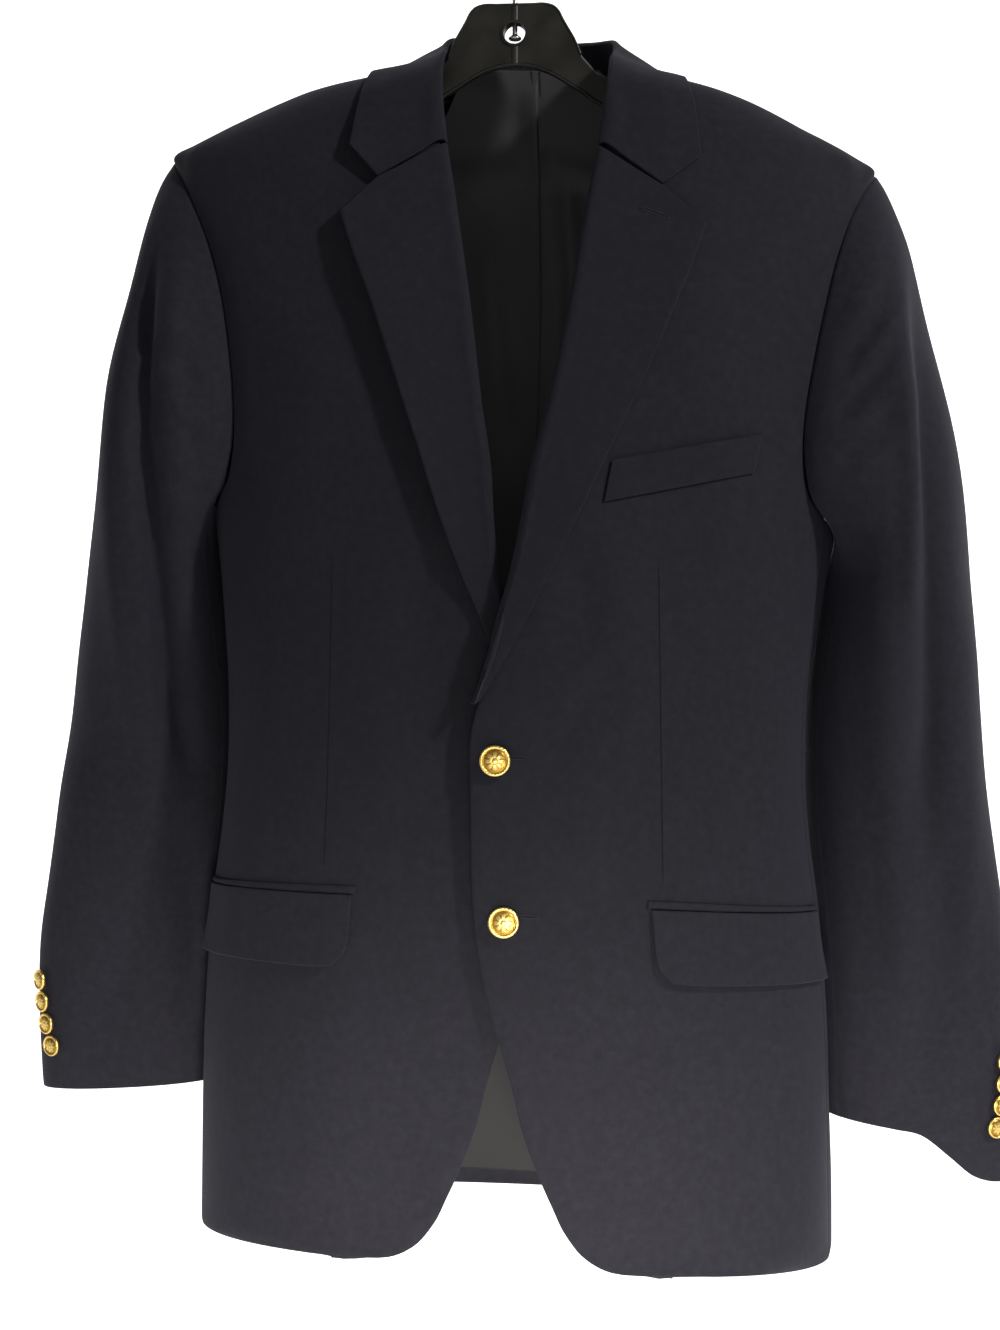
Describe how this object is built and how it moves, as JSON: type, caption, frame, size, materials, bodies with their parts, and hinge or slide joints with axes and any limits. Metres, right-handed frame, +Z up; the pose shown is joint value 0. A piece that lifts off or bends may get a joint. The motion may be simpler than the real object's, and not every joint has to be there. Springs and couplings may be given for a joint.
{
  "type": "blazer on hanger",
  "caption": "Navy wool blazer with notch lapels, flap pockets and gold-coloured metal buttons, hanging on a black plastic hanger with a metal hook.",
  "frame": {"origin": "inner top of the hook, where it bears on a rail", "axes": "+Z up, -Y the jacket's front, +X the wearer's left"},
  "size_m": [0.6906, 0.2203, 0.9415],
  "materials": {
    "navy_wool": "matte worsted wool",
    "navy_wool_lapel": "matte worsted wool",
    "black_lining": "satin lining",
    "gold_metal": "polished gold-coloured metal",
    "black_plastic": "semi-matt moulded plastic",
    "steel": "bright plated steel"
  },
  "bodies": {
    "root": {"chest_welt": "navy_wool", "collar": "navy_wool_lapel", "front_button_1": "gold_metal", "front_button_2": "gold_metal", "hanger": "black_plastic", "hook": "steel", "left_back": "navy_wool", "left_cuff_button_1": "gold_metal", "left_cuff_button_2": "gold_metal", "left_cuff_button_3": "gold_metal", "left_cuff_button_4": "gold_metal", "left_flap": "navy_wool", "left_front": "navy_wool", "left_jet": "navy_wool", "left_lapel": "navy_wool_lapel", "left_lining": "black_lining", "left_side": "navy_wool", "left_top_sleeve": "navy_wool", "left_under_sleeve": "navy_wool", "neck_lining": "black_lining", "right_back": "navy_wool", "right_cuff_button_1": "gold_metal", "right_cuff_button_2": "gold_metal", "right_cuff_button_3": "gold_metal", "right_cuff_button_4": "gold_metal", "right_flap": "navy_wool", "right_front": "navy_wool", "right_jet": "navy_wool", "right_lapel": "navy_wool_lapel", "right_lining": "black_lining", "right_side": "navy_wool", "right_top_sleeve": "navy_wool", "right_under_sleeve": "navy_wool"}
  },
  "joints": []
}
